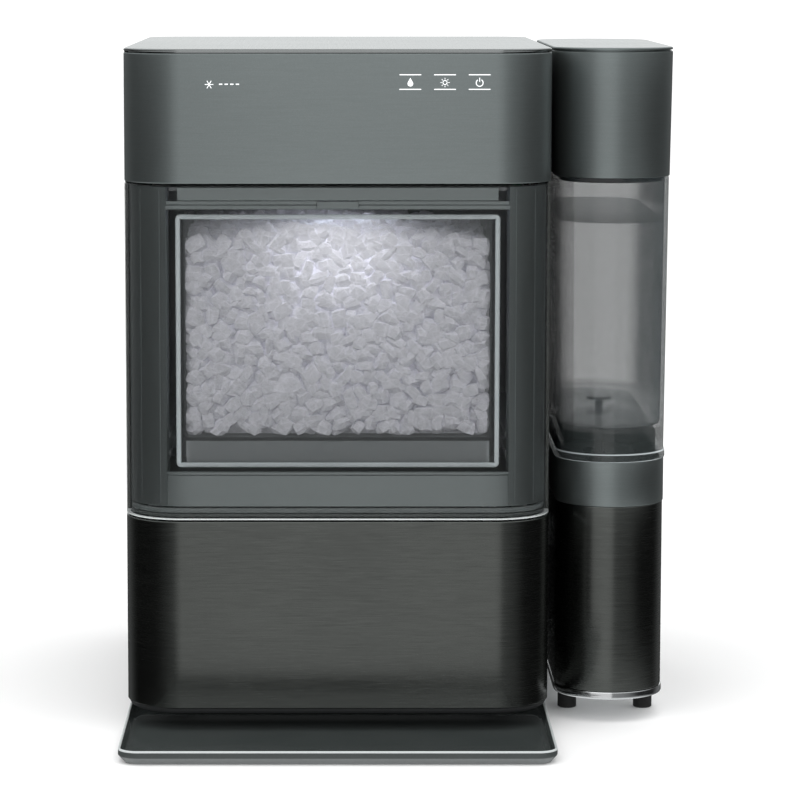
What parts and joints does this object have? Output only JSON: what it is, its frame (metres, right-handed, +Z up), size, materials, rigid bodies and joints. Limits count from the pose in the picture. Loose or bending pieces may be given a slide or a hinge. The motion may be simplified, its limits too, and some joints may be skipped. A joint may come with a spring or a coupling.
{
  "type": "countertop nugget ice maker",
  "caption": "Free-standing nugget ice maker with a clear pull-out ice drawer, a lift-off side water tank and a loose drip tray.",
  "frame": {"origin": "on the table, under the middle of the whole machine (cabinet, tank, tray and rear fittings)", "axes": "+Z up; the front, with the drawer and the tray, faces -Y; the water tank stands on the +X side"},
  "size_m": [0.3414, 0.444, 0.424],
  "materials": {
    "slate_paint": "satin",
    "black_stainless": "brushed",
    "top_sheet": "semi-gloss",
    "dark_sheet": "satin",
    "zinc_sheet": "zinc plated",
    "bright_steel": "polished",
    "tinted_clear": "clear, smoked",
    "clear_plastic": "clear",
    "tank_clear": "clear, lightly tinted",
    "frame_plastic": "satin",
    "liner_plastic": "satin",
    "black_plastic": "fine grain",
    "white_plastic": "satin",
    "grey_plastic": "satin",
    "float_plastic": "satin",
    "tray_plastic": "gloss",
    "foam": "foam",
    "rubber": "matte",
    "seal_rubber": "matte",
    "steel": "machined",
    "black_steel": "gloss",
    "cast_alloy": "cast",
    "fin_aluminium": "mill",
    "gear_plastic": "moulded",
    "bronze": "sintered",
    "copper": "drawn tube",
    "board": "printed board",
    "hose": "translucent silicone",
    "pad_foil": "foil"
  },
  "bodies": {
    "cabinet": {"base_pan": "zinc_sheet", "cabinet_feet": "rubber", "side_panel_left": "black_stainless", "side_panel_right": "black_stainless", "rear_panel": "dark_sheet", "rear_screws": "bright_steel", "top_panel": "top_sheet", "control_fascia": "slate_paint", "lower_front_panel": "black_stainless", "support_frame": "zinc_sheet", "compartment_liner": "liner_plastic", "drawer_rails": "grey_plastic", "bin_light_lens": "white_plastic", "display_board": "board", "touch_pads": "pad_foil", "status_light_guide": "white_plastic", "power_board": "board", "reservoir": "clear_plastic", "float_guide": "white_plastic", "water_pump": "black_plastic", "water_feed_hose": "hose", "drain_hoses": "hose", "drain_spouts": "black_plastic", "gear_motor": "zinc_sheet", "gearbox_housing": "cast_alloy", "gearbox_cover": "cast_alloy", "auger_bush": "bronze", "freezing_barrel": "steel", "evaporator_coil": "copper", "barrel_foam": "foam", "extruder_head": "white_plastic", "ice_chute": "white_plastic", "compressor": "black_steel", "compressor_grommets": "rubber", "condenser_fins": "fin_aluminium", "condenser_coil": "copper", "fan_shroud": "black_plastic", "fan_motor": "black_plastic", "refrigerant_lines": "copper", "cord_gland": "rubber", "tank_link_hoses": "hose", "tank_base_shell": "black_stainless", "tank_base_floor": "bright_steel", "tank_collar": "slate_paint"},
    "ice_drawer": {"drawer_front": "tinted_clear", "drawer_frame": "frame_plastic", "drawer_top_rail": "frame_plastic", "ice_bin": "clear_plastic"},
    "tray": {"drip_tray": "tray_plastic"},
    "side_tank": {"water_tank": "tank_clear"},
    "valve_poppet": {"tank_valve": "white_plastic"},
    "cap": {"tank_cap": "slate_paint", "cap_seal": "seal_rubber"},
    "auger_set": {"auger_screw": "steel", "auger_gear": "gear_plastic"},
    "pinion": {"motor_pinion": "gear_plastic"},
    "fan": {"fan_rotor": "grey_plastic"},
    "float": {"level_float": "float_plastic"},
    "left_plug": {"drain_plug_left": "grey_plastic"},
    "right_plug": {"drain_plug_right": "grey_plastic"}
  },
  "joints": [
    {"name": "drawer_slide", "type": "slide", "parent": "cabinet", "child": "ice_drawer", "axis": [0, -1, 0], "range_m": [0, 0.215]},
    {"name": "tray_slide", "type": "slide", "parent": "cabinet", "child": "tray", "axis": [0, -1, 0], "range_m": [0, 0.12]},
    {"name": "tank_lift", "type": "slide", "parent": "cabinet", "child": "side_tank", "axis": [0, 0, 1], "range_m": [0, 0.2]},
    {"name": "tank_valve_travel", "type": "slide", "parent": "side_tank", "child": "valve_poppet", "axis": [0, 0, 1], "range_m": [-0.004, 0]},
    {"name": "cap_lift", "type": "slide", "parent": "side_tank", "child": "cap", "axis": [0, 0, 1], "range_m": [0, 0.1]},
    {"name": "auger_spin", "type": "hinge", "parent": "cabinet", "child": "auger_set", "pos_m": [-0.119, 0.1514, 0.07985], "axis": [0, 0, 1], "continuous": true},
    {"name": "pinion_spin", "type": "hinge", "parent": "cabinet", "child": "pinion", "pos_m": [-0.0794, 0.1514, 0.07985], "axis": [0, 0, 1], "continuous": true},
    {"name": "fan_spin", "type": "hinge", "parent": "cabinet", "child": "fan", "pos_m": [0.0185, 0.1575, 0.285], "axis": [0, 1, 0], "continuous": true},
    {"name": "float_rise", "type": "slide", "parent": "cabinet", "child": "float", "axis": [0, 0, 1], "range_m": [-0.035, 0.035]},
    {"name": "left_plug_pull", "type": "slide", "parent": "cabinet", "child": "left_plug", "axis": [0, 1, 0], "range_m": [0, 0.03]},
    {"name": "right_plug_pull", "type": "slide", "parent": "cabinet", "child": "right_plug", "axis": [0, 1, 0], "range_m": [0, 0.03]}
  ],
  "couplings": [
    {"joint": "pinion_spin", "follows": "auger_spin", "ratio": -3},
    {"joint": "tank_valve_travel", "follows": "tank_lift", "ratio": -0.019}
  ]
}
